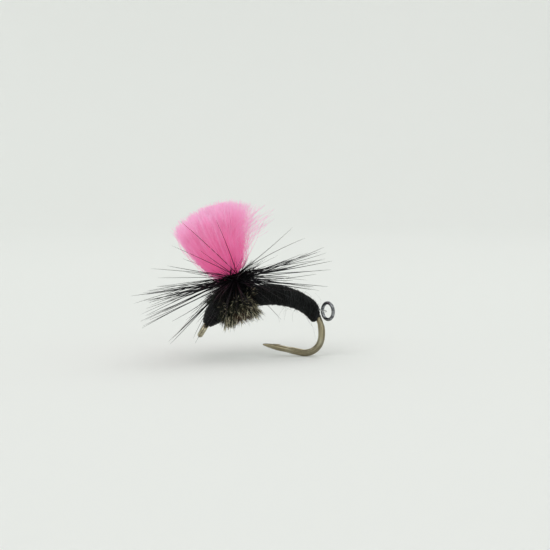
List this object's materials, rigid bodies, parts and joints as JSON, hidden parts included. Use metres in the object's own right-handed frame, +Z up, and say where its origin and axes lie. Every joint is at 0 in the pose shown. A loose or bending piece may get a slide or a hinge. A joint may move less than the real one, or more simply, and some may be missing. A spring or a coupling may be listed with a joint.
{
  "type": "dry fly",
  "caption": "Parachute dry fly on a curved hook: wrapped body, herl thorax, yarn wing post with a wound hackle, and a small ring on a nylon loop at the bend for a second fly.",
  "frame": {"origin": "centre of the hook's eye, where the leader is tied", "axes": "+X along the hook from the eye towards the bend, +Z up along the wing post's side of the hook, the hook lying in the plane of X and Z"},
  "size_m": [0.0197, 0.0194, 0.0156],
  "materials": {
    "bronze": "bronzed hook wire",
    "steel": "bright steel ring",
    "nylon": "clear monofilament",
    "thread": "waxed black tying thread",
    "wool": "matte black spun dubbing",
    "yarn": "pink poly yarn",
    "feather": "glossy black cock hackle",
    "herl": "iridescent bronze and green herl",
    "varnish": "clear head cement over black thread"
  },
  "bodies": {
    "fly": {"hook": "bronze", "mono_loop": "nylon", "thread_base": "thread", "loop_tail_near": "nylon", "loop_tail_far": "nylon", "tail_binding": "thread", "abdomen": "wool", "rear_wraps": "thread", "post_yarn": "yarn", "post_binding": "thread", "post_collar": "thread", "hackle_tie_off": "thread", "hackle_feather": "feather", "peacock_herl": "herl", "whip_finish": "thread", "head_wraps": "thread", "head_cement": "varnish"},
    "ring": {"tippet_ring": "steel"}
  },
  "joints": [
    {"name": "ring_turn", "type": "hinge", "parent": "fly", "child": "ring", "pos_m": [0.01198, 0, 0.00199], "axis": [0, 0, 1], "range_deg": [-38, 140]}
  ]
}
